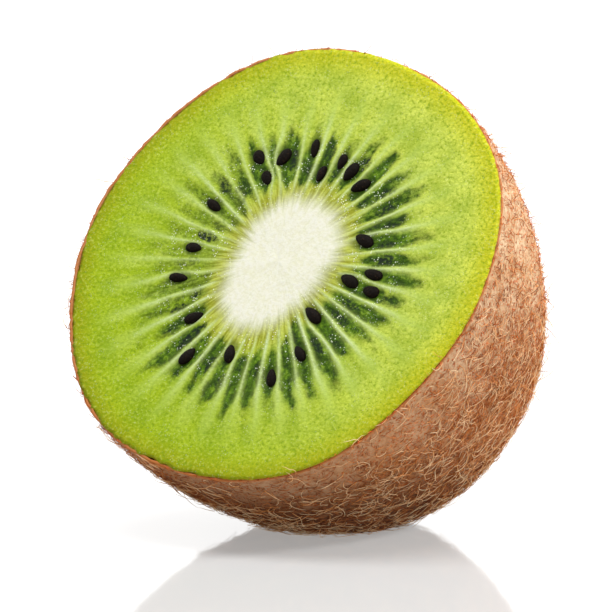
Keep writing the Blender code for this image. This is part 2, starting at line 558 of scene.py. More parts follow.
def blend(tree, share, first, second):
    """The first colour where the share is 0, the second where it is 1."""
    return add_node(tree, "ShaderNodeMix", {0: share, 6: first, 7: second}, data_type="RGBA").outputs[2]


def lay_over(tree, base, layers):
    """Blend each tone over all that came before it, by its share."""
    for share, tone in layers:
        base = blend(tree, share, base, tone)
    return base


def spread(tree, value, low, high, to_low=0.0, to_high=1.0):
    """Stretch a value's range, smoothly and held at both ends."""
    sources = {"Value": value, "From Min": low, "From Max": high, "To Min": to_low, "To Max": to_high}
    return add_node(tree, "ShaderNodeMapRange", sources, interpolation_type="SMOOTHSTEP").outputs["Result"]


def noise(tree, vector, scale, detail, roughness):
    sources = {"Vector": vector, "Scale": scale, "Detail": detail, "Roughness": roughness}
    return add_node(tree, "ShaderNodeTexNoise", sources).outputs["Fac"]


def attribute(tree, name):
    return add_node(tree, "ShaderNodeAttribute", attribute_name=name).outputs["Fac"]


def object_coordinates(tree):
    return add_node(tree, "ShaderNodeTexCoord").outputs["Object"]


def upright_coordinates(tree, form):
    """Object coordinates turned back to the upright fruit."""
    laid = lay_matrix(form)
    sources = {"Vector": object_coordinates(tree), "Location": laid.translation, "Rotation": laid.to_euler()}
    return add_node(tree, "ShaderNodeMapping", sources, vector_type="TEXTURE").outputs["Vector"]


def split_vector(tree, vector):
    return add_node(tree, "ShaderNodeSeparateXYZ", {0: vector}).outputs


def new_group(name, inputs, output_name, output_kind):
    """An empty shared effect: the group, the sockets that bring its inputs, and the one to feed."""
    group = bpy.data.node_groups.new(name, "ShaderNodeTree")
    for label, kind in inputs.items():
        group.interface.new_socket(name=label, in_out="INPUT", socket_type=kind)
    group.interface.new_socket(name=output_name, in_out="OUTPUT", socket_type=output_kind)
    entry = group.nodes.new("NodeGroupInput")
    result = group.nodes.new("NodeGroupOutput")
    return group, entry.outputs, result.inputs[output_name]


def fleck_group():
    """Shared effect: sparse round flecks, each in its own cell, at one size and density."""
    name = "Kiwi Flecks"
    if name in bpy.data.node_groups:
        return bpy.data.node_groups[name]
    number = "NodeSocketFloat"
    inputs = {"Vector": "NodeSocketVector", "Scale": number, "Size": number, "Density": number}
    group, entry, mask = new_group(name, inputs, "Mask", number)
    cells = add_node(group, "ShaderNodeTexVoronoi", {"Vector": entry["Vector"], "Scale": entry["Scale"]})
    near = calc(group, "SUBTRACT", entry["Size"], cells.outputs["Distance"])
    soft = times(group, near, 6.0, clamp=True)
    parts = add_node(group, "ShaderNodeSeparateColor", {0: cells.outputs["Color"]}).outputs
    chosen = calc(group, "LESS_THAN", parts[0], entry["Density"])
    feed(group, mask, times(group, soft, chosen))
    arrange_nodes(group)
    return group


def flecks(tree, vector, scale, size, density):
    sources = {"Vector": vector, "Scale": scale, "Size": size, "Density": density}
    return add_node(tree, "ShaderNodeGroup", sources, node_tree=fleck_group()).outputs["Mask"]


def add_bump(tree, shader, height, strength, distance):
    bump = add_node(tree, "ShaderNodeBump", {"Height": height, "Strength": strength, "Distance": distance})
    feed(tree, shader.inputs["Normal"], bump.outputs["Normal"])


# ---------------------------------------------------------------- flesh


FLESH_SEGMENTS = 900
FLESH_RINGS = 84
FLESH_UNDERSIDE_STEPS = 10
# Relief of the cut face in mm: slow swell, fibres, what each mark adds, and the fall at the rim
FACE_SWELL = 0.10
FACE_FIBRES = 0.04
FACE_RELIEF = {"chamber": -0.10, "ray": 0.06, "core": 0.14, "seed_shade": -0.10}
FACE_RIM_FALL = 0.05
# Share of the way to the skin that the lip and the underside are given, past the cut face's own 1
LIP_EDGE_SHARE = 1.04


def core_edge(flesh, bearing):
    """Radius of the pale core, an oval that leans to bearing 68 degrees, with three soft corners."""
    oval = flesh.core_oval * turn_cosine(bearing, 68.0, 2)
    corners = 0.28 * turn_cosine(bearing, -22.0) + 0.3 * turn_cosine(bearing, 8.0, 3)
    return flesh.core_radius + oval + corners * MM


def ray_bearings(flesh):
    """Bearings of the pale walls in degrees: evenly spread, then crowded by two slow swells."""
    even = np.arange(flesh.ray_count) * 360.0 / flesh.ray_count
    lower_swell = 7.3 * np.exp(-((even - 237.0) / 55.0) ** 2)
    upper_swell = 2.2 * np.exp(-((even - 105.0) / 55.0) ** 2)
    return even + lower_swell + upper_swell - 0.4


def seed_nudge(walls, distance):
    """Each wall's bearing at each distance, bent aside where an open seed is in its way."""
    bent = np.repeat(walls[None, :], len(distance), axis=0)
    for bearing, place, lean, size, width in OPEN_SEEDS:
        room = math.degrees((0.55 * width + 0.18) / place)
        gap = angle_gap(walls, bearing)
        push = np.where(np.abs(gap) < room, np.sign(gap) * (room - np.abs(gap)), 0.0)
        bent += push[None, :] * np.exp(-((distance[:, None] - place) / (2.0 * size)) ** 2)
    return bent


def from_seed(distance, bearing, seed_bearing, place):
    """How far points lie from a seed's middle in mm, along its radius and across it."""
    turn = bearing - math.radians(seed_bearing)
    return distance * np.cos(turn) - place, distance * np.sin(turn)


def seed_spots(distance, bearing, ragged):
    """Masks of the seeds that show through the flesh, and of the painted shade round the open ones."""
    sunk_mask = np.zeros_like(distance)
    for seed_bearing, place, length, strength in SUNK_SEEDS:
        radial, sideways = from_seed(distance, bearing, seed_bearing, place)
        spot = (radial / (0.56 * length)) ** 2 + (sideways / 0.62) ** 2 + 0.7 * ragged
        depth = min(1.0, 1.35 * strength)
        sunk_mask = np.maximum(sunk_mask, depth * (1.0 - smooth_step(0.55, 1.35, spot)))
    seed_shade = np.zeros_like(distance)
    for seed_bearing, place, lean, size, width in OPEN_SEEDS:
        radial, sideways = from_seed(distance, bearing, seed_bearing, place)
        spot = (radial / (1.25 * size)) ** 2 + (sideways / (0.95 * width)) ** 2
        seed_shade = np.maximum(seed_shade, 1.0 - smooth_step(0.5, 1.5, spot))
    return sunk_mask, seed_shade


def flesh_pattern(flesh, bearing, distance_m, edge_m):
    """Masks of the cut face by name, and the share of the way from the axis to the skin."""
    distance = distance_m / MM
    degrees = np.degrees(bearing) % 360.0
    walls = ray_bearings(flesh)
    rng = np.random.default_rng(11)
    count = len(walls)

    # the walls on both sides of each point, and how far across the chamber between them it lies
    bent = seed_nudge(walls, np.arange(WALL_STEPS) * WALL_STEP)
    row = np.clip(np.round(distance / WALL_STEP).astype(int), 0, WALL_STEPS - 1)
    wobble = 1.1 * (ring_noise(bearing, distance_m, 30, 3.0 * MM, 5) - 0.5)
    gaps = angle_gap(degrees[:, None] + wobble[:, None], bent[row])
    nearest = np.abs(gaps).argmin(axis=1)
    gap = gaps[np.arange(len(gaps)), nearest]
    past = np.where(gap >= 0.0, nearest, (nearest - 1) % count)
    start = bent[row, past]
    width = angle_gap(bent[row, (past + 1) % count], start) % 360.0
    across = np.clip(angle_gap(degrees + wobble, start) / width, 0.0, 1.0)

    # the core and the fibres round it
    core = core_edge(flesh, bearing) / MM
    fringe = ring_noise(bearing, distance_m, 80, 5.0 * MM, 7)
    fringe_fine = ring_noise(bearing, distance_m, 230, 3.0 * MM, 8)
    frayed = distance - core - 0.8 * (fringe - 0.5) - 0.35 * (fringe_fine - 0.5)
    core_mask = 1.0 - smooth_step(-1.5, 1.3, frayed)
    halo_mask = smooth_step(-2.2, 0.4, frayed) * (1.0 - smooth_step(1.2, 4.0, frayed))

    # the chambers, each with its own strength, start and end
    middle = walls[past] + CHAMBER_MIDDLE
    faint_side = np.exp(-(angle_gap(middle, 175.0) / 38.0) ** 2)
    vigour = 1.05 - 0.75 * faint_side + rng.uniform(-0.12, 0.08, count)[past]
    inner = core + CHAMBER_GAP + rng.uniform(-0.6, 0.8, count)[past] + bulges(middle, CHAMBER_START)
    outer = CHAMBER_END + rng.uniform(-1.0, 0.8, count)[past] + bulges(middle, CHAMBER_REACH)
    ragged = ring_noise(bearing, distance_m, 150, 1.0 * MM, 13) - 0.5
    lumps = ring_noise(bearing, distance_m, 60, 1.9 * MM, 14) - 0.5
    side = np.abs(2.0 * across - 1.0) ** 2.2
    outer_reach = np.clip((distance - (outer - CHAMBER_FADE_OUT)) / CHAMBER_FADE_OUT, 0.0, 2.0) ** 1.7
    inner_reach = np.clip(((inner + CHAMBER_FADE_IN) - distance) / CHAMBER_FADE_IN, 0.0, 2.0) ** 1.6
    finger = side + outer_reach + inner_reach + 0.6 * ragged + 0.5 * lumps
    chamber_mask = vigour * (1.0 - smooth_step(0.30, 1.30, finger))

    # the pale walls as thin rays, and the paler flesh beside them
    spacing = np.abs(np.radians(gap)) * distance
    thin = 0.12 + 0.06 * rng.random(count)[nearest] + 0.16 * smooth_step(12.0, 18.0, distance)
    bright = rng.uniform(0.45, 1.0, count)[nearest] * (0.84 + 0.16 * turn_cosine(bearing, 325.0))
    broken = 0.62 + 0.55 * ring_noise(bearing, distance_m, 120, 1.6 * MM, 15)
    line_fade = smooth_step(0.2, 1.8, distance - core) * (1.0 - smooth_step(12.5, 18.5, distance))
    ray_mask = np.clip(bright * broken * line_fade * np.exp(-(spacing / thin) ** 2), 0.0, 1.0)
    veil_width = 0.30 + 0.42 * smooth_step(11.0, 19.0, distance)
    veil_fade = smooth_step(0.8, 3.2, distance - core) * (1.0 - smooth_step(17.0, 22.0, distance))
    veil_mask = np.clip((0.3 + 0.7 * bright) * veil_fade * np.exp(-(spacing / veil_width) ** 2), 0.0, 1.0)

    sunk_mask, seed_shade = seed_spots(distance, bearing, ragged)
    return {
        "core": core_mask,
        "halo": halo_mask,
        "chamber": chamber_mask,
        "ray": ray_mask,
        "veil": veil_mask,
        "sunk_seed": sunk_mask,
        "seed_shade": seed_shade,
        "edge_share": distance_m / edge_m,
    }


def flesh_material(form, flesh):
    """Moist flesh, coloured by the marks on its mesh and by fine streaks and flecks, with painted glints,
    painted shade round the open seeds and painted light towards one side.
    """
    material, tree, shader = new_material("kiwi_flesh")
    upright = upright_coordinates(tree, form)
    split = split_vector(tree, upright)
    flat = add_node(tree, "ShaderNodeCombineXYZ", {0: split[0], 1: split[1]}).outputs[0]
    from_axis = add_node(tree, "ShaderNodeVectorMath", {0: flat}, operation="LENGTH").outputs["Value"]
    outwards = add_node(tree, "ShaderNodeVectorMath", {0: flat}, operation="NORMALIZE").outputs[0]

    def streaks(round_scale, cell_length, detail):
        """Noise drawn out along the radius."""
        sources = {0: outwards, "Scale": round_scale}
        around = add_node(tree, "ShaderNodeVectorMath", sources, operation="SCALE")
        lift = add_node(tree, "ShaderNodeCombineXYZ", {2: calc(tree, "DIVIDE", from_axis, cell_length)})
        parts = enumerate((around.outputs[0], lift.outputs[0]))
        total = add_node(tree, "ShaderNodeVectorMath", parts, operation="ADD")
        return noise(tree, total.outputs[0], 1.0, detail, 0.55)

    broad_streaks = streaks(13.0, 5.0 * MM, 2.0)
    fine_streaks = streaks(30.0, 2.4 * MM, 3.0)
    grain = noise(tree, upright, 2700.0, 2.5, 0.62)
    cloud = noise(tree, upright, 300.0, 3.0, 0.55)
    cells = add_node(tree, "ShaderNodeTexVoronoi", {"Vector": upright, "Scale": 1900.0},
                     feature="DISTANCE_TO_EDGE")
    cell_gap = spread(tree, cells.outputs["Distance"], 0.02, 0.22, 1.0, 0.0)
    # Share towards the side painted lighter, partly painted light and partly a riper tint
    lit_riper_side = add_node(tree, "ShaderNodeVectorMath", {0: upright, 1: LIT_RIPER_DIRECTION},
                          operation="DOT_PRODUCT")
    lit_riper_share = spread(tree, lit_riper_side.outputs["Value"], -0.8, 1.0)

    edge_share = attribute(tree, "edge_share")
    streak_share = times(tree, spread(tree, broad_streaks, 0.46, 0.70, 0.0, 0.6),
                         spread(tree, edge_share, 0.62, 0.90, 1.0, 0.0))
    rim_tone = blend(tree, lit_riper_share, flesh.rim_color, flesh.lit_riper_rim_color)
    # The rim shade is painted shade along the skin, halved on the side painted lighter
    rim_shade = times(tree, spread(tree, edge_share, 0.90, 1.0, 0.0, 0.42),
                      spread(tree, lit_riper_share, 0.0, 1.0, 1.0, 0.5))
    tatter = noise(tree, upright, 900.0, 2.0, 0.6)
    skin_line = spread(tree, plus(tree, edge_share, times(tree, tatter, 0.016)), 1.0, 1.022)
    dark_grain = calc(tree, "MAXIMUM", spread(tree, grain, 0.32, 0.54, 0.78, 0.0),
                      times(tree, cell_gap, 0.30))
    halo_tone = blend(tree, spread(tree, fine_streaks, 0.36, 0.66), flesh.halo_color, flesh.halo_pale_color)

    mottle = plus(tree, times(tree, fine_streaks, 0.45),
                  times(tree, noise(tree, upright, 1100.0, 3.0, 0.6), 0.50))
    mottle = plus(tree, mottle, times(tree, grain, 0.35))
    jelly = blend(tree, spread(tree, mottle, 0.52, 0.86), flesh.jelly_dark_and_seed_shade_color, flesh.chamber_color)
    chamber_share = times(tree, attribute(tree, "chamber"), spread(tree, mottle, 0.5, 0.85, 1.35, 0.75),
                          clamp=True)
    sunk_share = times(tree, attribute(tree, "sunk_seed"), spread(tree, grain, 0.38, 0.62, 1.15, 0.45),
                       clamp=True)
    veil_share = times(tree, attribute(tree, "veil"), spread(tree, fine_streaks, 0.3, 0.65, 0.40, 0.90))
    ray_share = times(tree, attribute(tree, "ray"), spread(tree, grain, 0.30, 0.60, 0.65, 1.1), clamp=True)

    # Painted highlights: pale glint specks in clusters, fewer towards the skin
    clusters = spread(tree, noise(tree, upright, 620.0, 2.0, 0.6), 0.46, 0.62)
    glint_cells = times(tree, flecks(tree, upright, 4200.0, 0.36, 0.60), clusters)
    glint_share = times(tree, glint_cells, spread(tree, edge_share, 0.48, 0.64, 1.0, 0.2))
    core = attribute(tree, "core")
    core_tone = blend(tree, spread(tree, grain, 0.35, 0.62, 0.45, 1.0), flesh.core_shade_color,
                      flesh.core_color)
    core_share = times(tree, core, spread(tree, fine_streaks, 0.3, 0.6, 0.90, 1.08), clamp=True)

    base = lay_over(tree, flesh.outer_color, (
        (lit_riper_share, flesh.lit_riper_color),
        (spread(tree, cloud, 0.38, 0.66, 0.0, 0.5), flesh.deep_color),
        (streak_share, flesh.pale_color),
        (spread(tree, edge_share, 0.84, 1.0, 0.0, 0.85), rim_tone),
        (rim_shade, flesh.rim_shade_color),
        (dark_grain, flesh.deep_color),
        (spread(tree, grain, 0.51, 0.70, 0.0, 0.40), flesh.pale_color),
        (attribute(tree, "halo"), halo_tone),
        (chamber_share, jelly),
        (sunk_share, flesh.sunk_color),
        # Painted shade round the open seeds
        (times(tree, attribute(tree, "seed_shade"), 0.6), flesh.jelly_dark_and_seed_shade_color),
        (veil_share, flesh.veil_color),
        (ray_share, flesh.ray_color),
        (glint_share, flesh.glint_speck_color),
        (times(tree, skin_line, 0.85), flesh.skin_line_color),
        (core_share, core_tone),
    ))
    feed_inputs(tree, shader, {
        "Base Color": base,
        "Roughness": spread(tree, grain, 0.3, 0.7, 0.40, 0.60),
        "Specular IOR Level": 0.05,
        "Subsurface Weight": 0.20,
        "Subsurface Radius": (0.9, 1.0, 0.3),
        "Subsurface Scale": 0.5 * MM,
    })
    fibres = times(tree, fine_streaks, times(tree, calc(tree, "SUBTRACT", 1.0, core), 0.5))
    height = plus(tree, times(tree, grain, spread(tree, core, 0.0, 1.0, 1.0, 0.4)), fibres)
    add_bump(tree, shader, height, 0.8, 0.18 * MM)
    return material


class KIWI_OT_add_flesh(bpy.types.Operator):
    """Add the flesh with its rays, seed chambers and pale core"""
    bl_idname = "kiwi.add_flesh"
    bl_label = "Add Flesh"
    bl_options = {"REGISTER", "UNDO"}

    def execute(self, context):
        form = context.scene.kiwi_form
        flesh = context.scene.kiwi_flesh
        shares = [(ring + 1) / FLESH_RINGS for ring in range(FLESH_RINGS)]
        radii = [share + 0.62 * math.sin(2.0 * math.pi * share) / (2.0 * math.pi) for share in shares]
        heights = [0.0] * FLESH_RINGS
        lip = 1.0 - flesh.lip / form.section_radius
        radii += [lip + 0.6 * (1.0 - lip), lip]
        heights += [-0.4 * flesh.lip, -flesh.lip]
        for step in range(1, FLESH_UNDERSIDE_STEPS + 1):
            along = math.sin(0.5 * math.pi * step / (FLESH_UNDERSIDE_STEPS + 0.35))
            radii.append(lip * (1.0 - along * along) ** (1.0 / form.profile_power))
            heights.append(-(form.half_length - 2.0 * flesh.lip - form.dimple_depth) * along)
        piece = add_rings("flesh", FLESH_SEGMENTS, radii, heights, close_end=True)

        points = read_points(piece)
        on_face = points[:, 2] > -0.001 * MM
        bearing, spread_out = polar(points)
        gap = flesh.inset * rim_tatter(bearing) * (1.0 + 2.0 * proud_skin(bearing))
        edge = section_radius(form, bearing) + rim_wave(bearing) - gap
        distance = spread_out * edge
        masks = flesh_pattern(flesh, bearing, distance, edge)
        for name, values in masks.items():
            elsewhere = LIP_EDGE_SHARE if name == "edge_share" else 0.0
            write_attribute(piece, name, np.where(on_face, values, elsewhere))
        relief = self.relief(bearing, distance, edge, masks)
        height = points[:, 2] + np.where(on_face, relief, 0.0)
        write_points(piece, round_points(bearing, distance, height))
        outward_normals(piece)
        piece.data.transform(lay_matrix(form))
        finish_piece(piece, flesh_material(form, flesh))
        return {"FINISHED"}

    @staticmethod
    def relief(bearing, distance, edge, masks):
        """Height of the cut face over a true plane."""
        swell = FACE_SWELL * (ring_noise(bearing, distance, 9, 6.0 * MM, 21) - 0.5)
        fibres = FACE_FIBRES * (ring_noise(bearing, distance, 240, 1.2 * MM, 22) - 0.5)
        fibres = fibres * (1.0 - masks["core"])
        marks = sum(height * masks[name] for name, height in FACE_RELIEF.items())
        rim = FACE_RIM_FALL * smooth_step(0.985, 1.0, distance / edge)
        return MM * (swell + fibres + marks - rim)


# ---------------------------------------------------------------- seeds


def seed_material(seed):
    """Near-black coat, finely pitted, a little shiny, with paler brown specks that are partly painted glints.
    """
    material, tree, shader = new_material("kiwi_seed")
    place = object_coordinates(tree)
    pits = noise(tree, place, 5200.0, 2.0, 0.6)
    patches = noise(tree, place, 1500.0, 2.0, 0.5)
    # Paler specks: partly the coat's own marks, partly painted glints
    speck_glint_share = times(tree, spread(tree, pits, 0.54, 0.74), spread(tree, patches, 0.40, 0.65, 0.10, 0.8))
    feed_inputs(tree, shader, {
        "Base Color": blend(tree, speck_glint_share, seed.seed_color, seed.speck_glint_color),
        "Roughness": spread(tree, pits, 0.3, 0.7, 0.30, 0.55),
        "Specular IOR Level": 0.03,
    })
    add_bump(tree, shader, pits, 0.9, 0.12 * MM)
    return material


SEED_SEGMENTS = 28
SEED_RINGS = 18
SEED_DENTS_PER_METRE = 9000.0
SEED_DENT_SHARE = 0.04


class KIWI_OT_add_seeds(bpy.types.Operator):
    """Add the seeds that lie open at the cut, as one piece"""
    bl_idname = "kiwi.add_seeds"
    bl_label = "Add Seeds"
    bl_options = {"REGISTER", "UNDO"}

    def execute(self, context):
        seed = context.scene.kiwi_seed
        rng = np.random.default_rng(31)
        made = []
        for number, (bearing, distance, lean, size, width) in enumerate(OPEN_SEEDS):
            made.append(self.one_seed(seed, number, bearing, distance, lean, size, width, rng))
        select_only(made)
        bpy.ops.object.join()
        piece = bpy.context.object
        piece.name = "seeds"
        piece.data.name = "seeds"
        piece.data.transform(lay_matrix(context.scene.kiwi_form))
        finish_piece(piece, seed_material(seed))
        return {"FINISHED"}

    @staticmethod
    def one_seed(seed, number, bearing, distance, lean, size, width, rng):
        """A drop-shaped seed, narrow end inwards, lying on the cut face."""
        start_clean()
        bpy.ops.mesh.primitive_uv_sphere_add(segments=SEED_SEGMENTS, ring_count=SEED_RINGS, radius=1.0,
                                             rotation=(0.0, math.pi / 2.0, 0.0))
        piece = bpy.context.object
        piece.name = f"seed_{number:02d}"
        bpy.ops.object.transform_apply(location=False, rotation=True, scale=False)
        points = read_points(piece)
        along = points[:, 0]
        taper = 1.0 + 0.16 * along - 0.06 * along * along
        bend = rng.uniform(-0.10, 0.10)
        points[:, 1] = points[:, 1] * taper + bend * (1.0 - along * along)
        points[:, 2] = points[:, 2] * taper
        across = seed.width * width * math.sqrt(size)
        points *= 0.5 * np.array([seed.length * size, across, seed.thickness * size])
        waves = points @ rng.uniform(-1.0, 1.0, (3, 4)) * SEED_DENTS_PER_METRE + rng.uniform(0, 6, 4)
        points *= (1.0 + SEED_DENT_SHARE * np.sin(waves).mean(axis=1))[:, None]
        write_points(piece, points)
        angle = math.radians(bearing)
        place = Matrix.Translation((distance * MM * math.cos(angle), distance * MM * math.sin(angle),
                                    -seed.sink))
        turn = Matrix.Rotation(angle + math.radians(lean), 4, "Z")
        tilt = Matrix.Rotation(rng.uniform(-0.15, 0.15), 4, "Y")
        piece.data.transform(place @ turn @ tilt)
        piece.data.shade_smooth()
        return piece


# ---------------------------------------------------------------- skin


SKIN_SEGMENTS = 320
SKIN_RINGS = 96
# Points nearer to the axis than this share of the radius are the stalk end itself
POLE_RADIUS = 1e-6


def skin_material(form, skin):
    """Dry brown skin with paler patches, darker hair roots and a raw cut edge, with painted shade over its
    lower half and deeper painted shade close to the floor.
    """
    material, tree, shader = new_material("kiwi_skin")
    upright = upright_coordinates(tree, form)
    height_up = split_vector(tree, object_coordinates(tree))[2]
    below_cut = split_vector(tree, upright)[2]
    patches = noise(tree, upright, 180.0, 3.0, 0.55)
    grain = noise(tree, upright, 1700.0, 3.0, 0.65)
    roots = flecks(tree, upright, 1900.0, 0.33, 0.80)
    fine_roots = flecks(tree, upright, 3200.0, 0.34, 0.5)
    base = lay_over(tree, skin.skin_color, (
        (spread(tree, patches, 0.30, 0.62), skin.light_color),
        (spread(tree, grain, 0.35, 0.60, 0.60, 0.0), skin.dark_color),
        (times(tree, fine_roots, 0.5), skin.dark_color),
        (times(tree, roots, 0.95), skin.spot_color),
        # Painted shade: browner towards the lower half, by height above the floor in the frame
        (spread(tree, height_up, 10.0 * MM, 34.0 * MM, 0.60, 0.0), skin.lower_shade_color),
        # Painted shade: much darker close to the floor, by height in the frame
        (spread(tree, height_up, 0.0, 12.0 * MM, 0.88, 0.0), skin.floor_shade_color),
        (spread(tree, below_cut, -0.60 * MM, -0.20 * MM, 0.0, 0.8), skin.edge_color),
    ))
    feed_inputs(tree, shader, {
        "Base Color": base,
        "Roughness": spread(tree, grain, 0.3, 0.7, 0.72, 0.95),
        "Specular IOR Level": 0.08,
    })
    add_bump(tree, shader, plus(tree, times(tree, grain, 0.8), times(tree, roots, 0.6)), 0.5, 0.14 * MM)
    return material


class KIWI_OT_add_skin(bpy.types.Operator):
    """Add the thin brown skin, pressed flat where it rests"""
    bl_idname = "kiwi.add_skin"
    bl_label = "Add Skin"
    bl_options = {"REGISTER", "UNDO"}

    def execute(self, context):
        form = context.scene.kiwi_form
        skin = context.scene.kiwi_skin
        levels = [1.0 - ((ring + 0.5) / (SKIN_RINGS - 0.5)) ** 1.15 for ring in range(SKIN_RINGS)]
        radii = [math.sqrt(1.0 - along * along) for along in levels]
        piece = add_rings("skin", SKIN_SEGMENTS, radii, [-along for along in levels], close_end=False)
        points = read_points(piece)
        bearing, spread_out = polar(points)
        along = np.where(spread_out < POLE_RADIUS, 1.0, np.clip(-points[:, 2], 0.0, 1.0))
        shaped = surface_points(form, bearing, along)
        rim = 1.0 - smooth_step(0.0, 0.012, along)
        tatter = ring_noise(bearing, 0.0 * along, 230, MM, 43) - 0.5
        drop = 0.22 - 0.17 * proud_skin(bearing) - 0.12 * tatter
        shaped[:, 2] -= rim * drop * MM
        write_points(piece, shaped)
        outward_normals(piece)
        wall = piece.modifiers.new("Thickness", "SOLIDIFY")
        wall.thickness = skin.thickness
        wall.offset = -1.0
        wall.use_even_offset = False
        select_only([piece])
        bpy.ops.object.modifier_apply(modifier=wall.name)
        piece.data.transform(lay_matrix(form))
        points = read_points(piece)
        points[:, 2] = np.maximum(points[:, 2], 0.0)
        write_points(piece, points)
        finish_piece(piece, skin_material(form, skin))
        return {"FINISHED"}


# The scar in mm: its radius, how far it stands out and how far its edge is sunk
SCAR_RADIUS = 2.3
SCAR_HEIGHT = 0.9
SCAR_SINK = 0.15
SCAR_SEGMENTS = 48
SCAR_RINGS = 12


class KIWI_OT_add_stalk_scar(bpy.types.Operator):
    """Add the small woody scar in the hollow of the stalk end"""
    bl_idname = "kiwi.add_stalk_scar"
    bl_label = "Add Stalk Scar"
    bl_options = {"REGISTER", "UNDO"}

    def execute(self, context):
        form = context.scene.kiwi_form
        floor = -(form.half_length - form.dimple_depth)
        turns = [0.5 * math.pi * (ring + 1) / SCAR_RINGS for ring in range(SCAR_RINGS)]
        radii = [math.sin(turn) for turn in turns] + [0.9, 0.4]
        heights = [-math.cos(turn) for turn in turns] + [0.5, 0.55]
        piece = add_rings("stalk_scar", SCAR_SEGMENTS, radii, heights, close_end=True)
        points = read_points(piece)
        bearing, spread_out = polar(points)
        lumps = ring_noise(bearing, spread_out * MM, 14, 0.4 * MM, 51) - 0.5
        radius = SCAR_RADIUS * MM * spread_out * (1.0 + 0.16 * lumps)
        rise = SCAR_HEIGHT * MM * np.clip(-points[:, 2], 0.0, 1.0) ** 0.6
        rise *= 1.0 - 0.35 * np.exp(-(spread_out / 0.45) ** 2)
        rise += 0.12 * MM * lumps * (points[:, 2] < -0.1)
        buried = np.clip(points[:, 2], 0.0, 1.0) * MM
        height = floor + SCAR_SINK * MM - rise + buried
        write_points(piece, round_points(bearing, radius, height))
        outward_normals(piece)
        piece.data.transform(lay_matrix(form))
        finish_piece(piece, self.wood_material())
        return {"FINISHED"}

    @staticmethod
    def wood_material():
        material, tree, shader = new_material("kiwi_stalk_wood")
        place = object_coordinates(tree)
        grain = noise(tree, place, 1500.0, 4.0, 0.6)
        tone = blend(tree, spread(tree, grain, 0.35, 0.65), color(74, 46, 26), color(142, 104, 68))
        feed_inputs(tree, shader, {"Base Color": tone, "Roughness": 0.9})
        add_bump(tree, shader, grain, 0.9, 0.25 * MM)
        return material


# ---------------------------------------------------------------- fuzz


def hair_group():
    """Shared effect: a hair's colour from root to tip, a little darker on some hairs, with painted shade near
    the floor.
    """
    name = "Kiwi Hair"
    if name in bpy.data.node_groups:
        return bpy.data.node_groups[name]
    inputs = dict.fromkeys(("Along", "Tone", "Low", "Underside Share"), "NodeSocketFloat")
    inputs.update(dict.fromkeys(("Root", "Tip", "Underside"), "NodeSocketColor"))
    group, entry, result = new_group(name, inputs, "Color", "NodeSocketColor")
    base = blend(group, spread(group, entry["Along"], 0.0, 0.75), entry["Root"], entry["Tip"])
    darker = blend(group, times(group, entry["Tone"], 0.5), base, entry["Root"])
    # Painted shade: hairs rooted near the floor blend towards the dark colour
    shade = times(group, entry["Low"], entry["Underside Share"])
    feed(group, result, blend(group, shade, darker, entry["Underside"]))
    arrange_nodes(group)
    return group


def fuzz_material(name, root_color, tip_color, floor_shade_color, floor_shade_share):
    """Fine dry hair, darker at its root, each hair a little different."""
    material, tree, shader = new_material(name)
    sources = {
        "Along": attribute(tree, "along"),
        "Tone": attribute(tree, "tone"),
        "Low": attribute(tree, "low"),
        "Underside Share": floor_shade_share,
        "Root": root_color,
        "Tip": tip_color,
        "Underside": floor_shade_color,
    }
    hair = add_node(tree, "ShaderNodeGroup", sources, node_tree=hair_group())
    feed_inputs(tree, shader, {
        "Base Color": hair.outputs["Color"],
        "Roughness": 0.6,
        "Specular IOR Level": 0.1,
    })
    return material


# Places tried for each hair that is kept, share and lift of the hairs that stand up on the upper
# side, and in mm how deep a root sits and how far a hair stays above the floor
TRIES_PER_HAIR = 5
UPRIGHT_SHARE = 0.20
UPRIGHT_RISE = 1.2
HAIR_ROOT_DEPTH = 0.08
HAIR_FLOOR_GAP = 0.09


def skin_directions(form, bearing, along):
    """Unit vectors on the skin: round the fruit, towards the stalk, and straight out."""
    step = 1e-4
    east = skin_points(form, bearing + step, along) - skin_points(form, bearing - step, along)
    above = skin_points(form, bearing, np.maximum(along - step, 0.0))
    south = skin_points(form, bearing, np.minimum(along + step, 1.0)) - above
    east = unit(east)
    normal = unit(np.cross(east, -south))
    return east, np.cross(normal, east), normal


def hair_places(form, count, bushy, seed, rng):
    """Bearing and way down the skin of each hair, and how far it belongs to the dense lower side."""
    tries = count * TRIES_PER_HAIR
    bearing = rng.uniform(0.0, 2.0 * math.pi, tries)
    along = rng.uniform(0.0, 1.0, tries)
    fullness = np.clip(1.0 - along * along, 0.0, 1.0) ** (1.0 / form.profile_power)
    slope = form.half_length * (1.0 - 0.35 * along)
    area = fullness * slope / form.half_length
    up_in_frame = np.array(lay_matrix(form))[2, :3]
    facing_down = 0.5 - 0.5 * (skin_directions(form, bearing, along)[2] @ up_in_frame)
    patch = ring_noise(bearing, along * form.half_length, 16, 5.0 * MM, seed + 1)
    dense = smooth_step(0.40, 0.70, facing_down)
    bush = np.clip(0.10 + 0.90 * dense * (0.45 + patch), 0.0, 1.0)
    bush *= 1.0 - 0.88 * dense * (1.0 - smooth_step(0.05, 0.38, along))
    growth = (1.0 - bushy) + bushy * bush
    kept = np.nonzero(rng.random(tries) < area * growth)[0][:count]
    return bearing[kept], along[kept], dense[kept]


